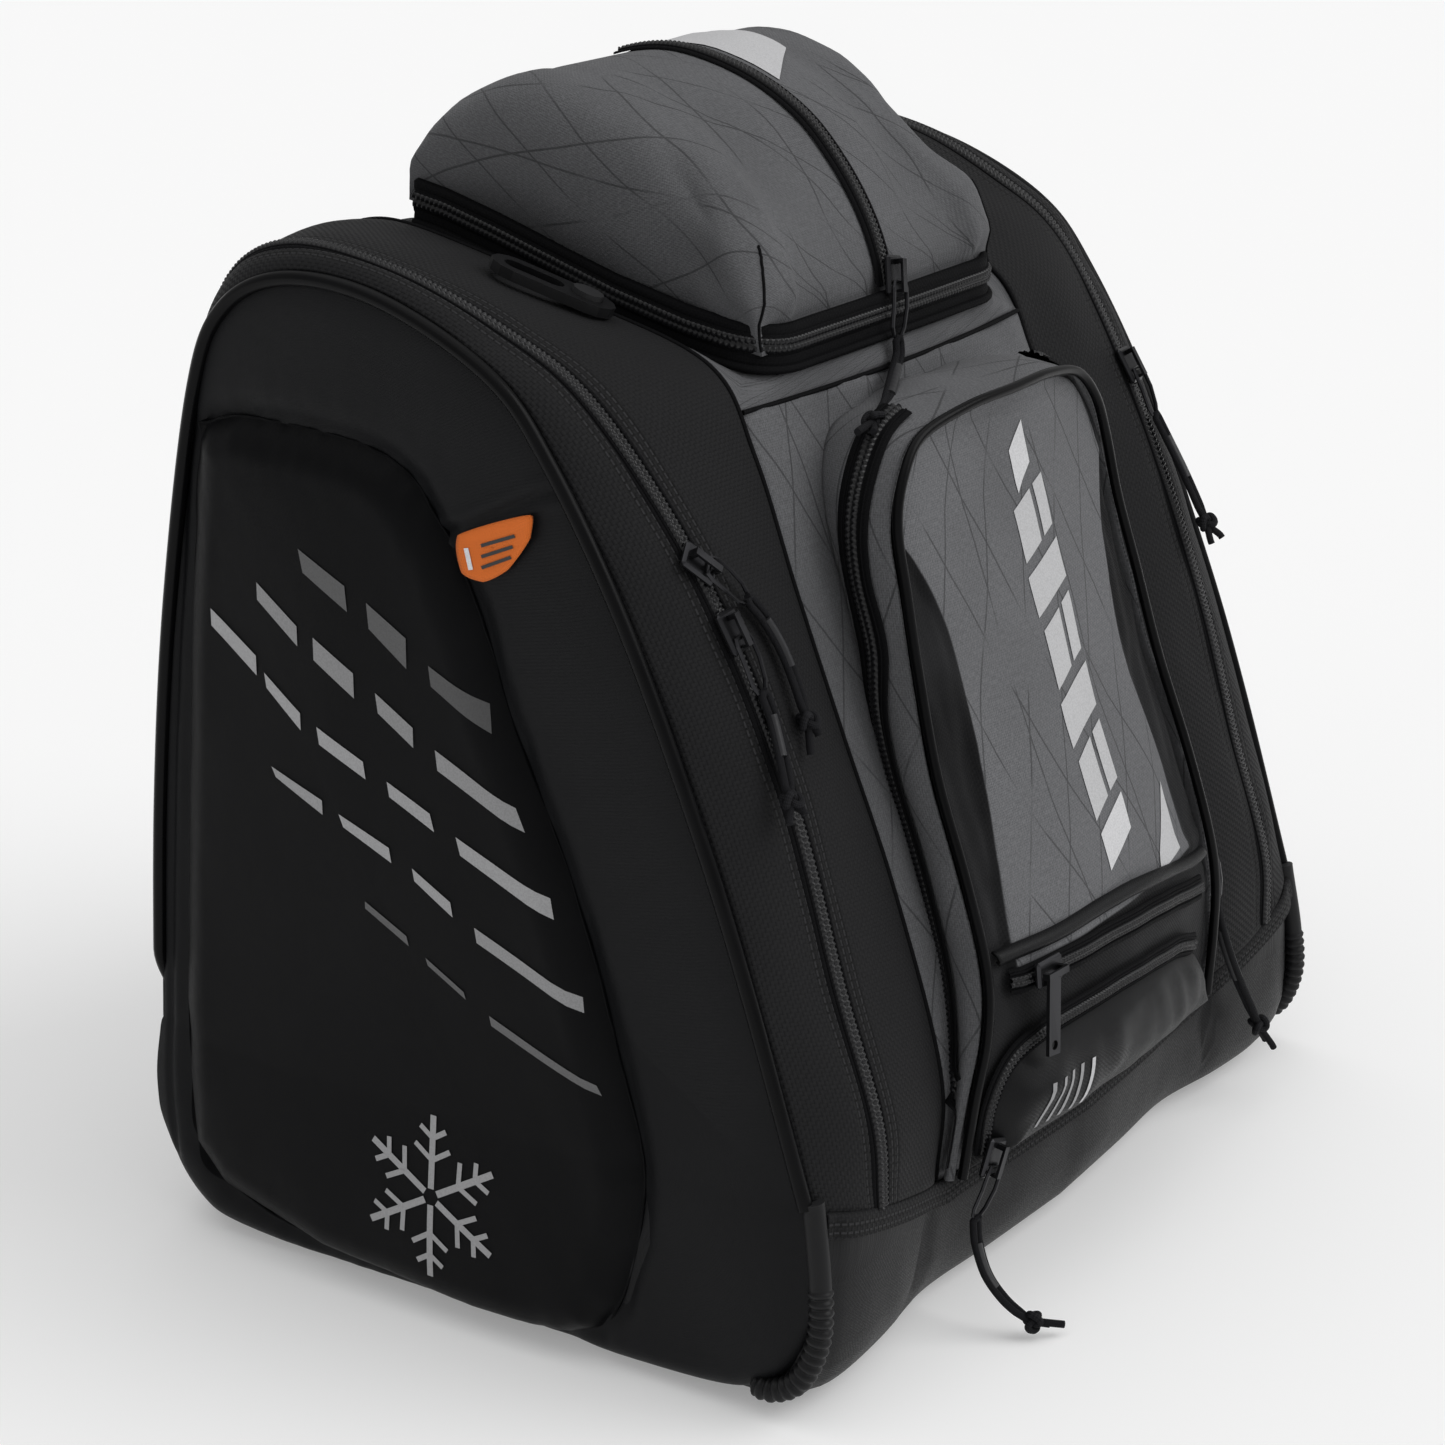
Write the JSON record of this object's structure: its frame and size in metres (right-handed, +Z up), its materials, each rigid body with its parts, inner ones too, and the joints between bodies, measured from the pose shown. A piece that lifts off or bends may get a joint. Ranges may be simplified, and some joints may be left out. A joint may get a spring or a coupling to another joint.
{
  "type": "ski boot bag",
  "caption": "Ski boot backpack: zipped doors over boot compartments at both sides, domed zip lid, front pocket, back pad, shoulder straps, haul handle and cord zip pulls.",
  "frame": {"origin": "on the floor under the middle of the bag, measured without the cord pulls", "axes": "+Z up, the back pad and straps towards +Y, the front pocket towards -Y, +X to the right of someone looking at the front pocket"},
  "size_m": [0.4352, 0.4203, 0.4758],
  "materials": {
    "tarpaulin": "smooth coated",
    "ballistic": "coarse weave",
    "lining": "matt",
    "grey_cloth": "fine weave with a printed lattice",
    "mesh": "spacer mesh",
    "rubber": "satin",
    "heater": "matt",
    "board": "matt",
    "zip": "coil teeth on woven tape",
    "plastic": "moulded",
    "gunmetal": "dark plated",
    "cord": "braided"
  },
  "bodies": {
    "bag": {"base_tub": "tarpaulin", "base_board": "board", "corner_guard_left": "rubber", "corner_guard_right": "rubber", "front_panel": "grey_cloth", "back_panel": "ballistic", "back_pad": "mesh", "top_collar": "grey_cloth", "divider_left": "lining", "divider_right": "lining", "heater_mat_left": "heater", "heater_mat_right": "heater", "inner_gusset_left": "ballistic", "inner_gusset_right": "ballistic", "main_zip_left": "zip", "main_zip_right": "zip", "lid_zip": "zip", "pocket_gusset": "grey_cloth", "pocket_face": "grey_cloth", "pocket_piping": "rubber", "pocket_zip_left": "zip", "pocket_zip_right": "zip", "slash_zip": "zip", "lower_pocket": "tarpaulin", "lower_pocket_zip": "zip", "cable_port": "plastic", "haul_handle": "ballistic", "shoulder_strap_left": "mesh", "shoulder_strap_right": "mesh"},
    "left_door": {"side_panel_left": "tarpaulin", "side_pad_left": "tarpaulin", "side_piping_left": "rubber", "outer_gusset_left": "ballistic"},
    "right_door": {"side_panel_right": "tarpaulin", "side_pad_right": "tarpaulin", "side_piping_right": "rubber", "outer_gusset_right": "ballistic"},
    "lid": {"lid_dome": "grey_cloth", "lid_top_zip": "zip"},
    "cable_plug": {"cable_plug": "rubber"},
    "left_upper_slider": {"left_upper_slider": "gunmetal"},
    "left_upper_pull": {"left_upper_ring": "gunmetal", "left_upper_cord": "cord"},
    "left_lower_slider": {"left_lower_slider": "gunmetal"},
    "left_lower_pull": {"left_lower_ring": "gunmetal", "left_lower_cord": "cord"},
    "right_main_slider": {"right_main_slider": "gunmetal"},
    "right_main_pull": {"right_main_ring": "gunmetal", "right_main_cord": "cord"},
    "lid_slider": {"lid_slider": "gunmetal"},
    "lid_pull": {"lid_ring": "gunmetal", "lid_cord": "cord"},
    "pocket_right_slider": {"pocket_right_slider": "gunmetal"},
    "pocket_right_pull": {"pocket_right_ring": "gunmetal", "pocket_right_cord": "cord"},
    "lower_pocket_slider": {"lower_pocket_slider": "gunmetal"},
    "lower_pocket_pull": {"lower_pocket_ring": "gunmetal", "lower_pocket_cord": "cord"},
    "slash_slider": {"slash_slider": "gunmetal"},
    "slash_pull": {"slash_tab": "gunmetal"}
  },
  "joints": [
    {"name": "left_door_hinge", "type": "hinge", "parent": "bag", "child": "left_door", "pos_m": [-0.206, 0, 0.076], "axis": [0, -1, 0], "range_deg": [0, 95]},
    {"name": "right_door_hinge", "type": "hinge", "parent": "bag", "child": "right_door", "pos_m": [0.206, 0, 0.076], "axis": [0, 1, 0], "range_deg": [0, 95]},
    {"name": "lid_hinge", "type": "hinge", "parent": "bag", "child": "lid", "pos_m": [0, 0.098, 0.412], "axis": [-1, 0, 0], "range_deg": [0, 90]},
    {"name": "cable_plug_pull", "type": "slide", "parent": "bag", "child": "cable_plug", "axis": [0.1846, -0.3378, 0.9229], "range_m": [0, 0.012]},
    {"name": "left_upper_slide", "type": "slide", "parent": "bag", "child": "left_upper_slider", "axis": [-0.0935, 0.3286, 0.9398], "range_m": [0, 0.015]},
    {"name": "left_lower_slide", "type": "slide", "parent": "bag", "child": "left_lower_slider", "axis": [0.0635, -0.4375, -0.897], "range_m": [0, 0.04]},
    {"name": "right_main_slide", "type": "slide", "parent": "bag", "child": "right_main_slider", "axis": [-0.1039, -0.5219, -0.8466], "range_m": [0, 0.04]},
    {"name": "lid_zip_slide", "type": "slide", "parent": "lid", "child": "lid_slider", "axis": [0, 0.1806, 0.9835], "range_m": [0, 0.01]},
    {"name": "pocket_right_slide", "type": "slide", "parent": "bag", "child": "pocket_right_slider", "axis": [-0.1, 0.2201, 0.9703], "range_m": [0, 0.02]},
    {"name": "lower_pocket_slide", "type": "slide", "parent": "bag", "child": "lower_pocket_slider", "axis": [-0.0201, -0.1203, 0.9925], "range_m": [0, 0.01]},
    {"name": "slash_slide", "type": "slide", "parent": "bag", "child": "slash_slider", "axis": [0.9974, -0.0598, -0.0399], "range_m": [0, 0.03]},
    {"name": "left_upper_pull_hinge", "type": "hinge", "parent": "left_upper_slider", "child": "left_upper_pull", "pos_m": [-0.17165, -0.10267, 0.31634], "axis": [-0.7546, -0.2685, -0.5987], "range_deg": [0, 70]},
    {"name": "left_lower_pull_hinge", "type": "hinge", "parent": "left_lower_slider", "child": "left_lower_pull", "pos_m": [-0.17046, -0.11581, 0.29115], "axis": [-0.994, 0, -0.1092], "range_deg": [0, 70]},
    {"name": "right_main_pull_hinge", "type": "hinge", "parent": "right_main_slider", "child": "right_main_pull", "pos_m": [0.17376, -0.09978, 0.32117], "axis": [-0.9955, -0.0934, 0.0154], "range_deg": [0, 70]},
    {"name": "lid_pull_hinge", "type": "hinge", "parent": "lid_slider", "child": "lid_pull", "pos_m": [-0.00044, -0.08008, 0.38821], "axis": [-0.9757, 0.0438, 0.2145], "range_deg": [0, 70]},
    {"name": "pocket_right_pull_hinge", "type": "hinge", "parent": "pocket_right_slider", "child": "pocket_right_pull", "pos_m": [0.10952, -0.17664, 0.12747], "axis": [-0.3617, -0.9323, -0.0031], "range_deg": [0, 70]},
    {"name": "lower_pocket_pull_hinge", "type": "hinge", "parent": "lower_pocket_slider", "child": "lower_pocket_pull", "pos_m": [-0.09665, -0.18749, 0.06555], "axis": [-0.9504, 0.0653, 0.3042], "range_deg": [0, 70]},
    {"name": "slash_tab_hinge", "type": "hinge", "parent": "slash_slider", "child": "slash_pull", "pos_m": [-0.06698, -0.19453, 0.13593], "axis": [-0.9875, 0.1132, 0.1101], "range_deg": [0, 70]}
  ]
}
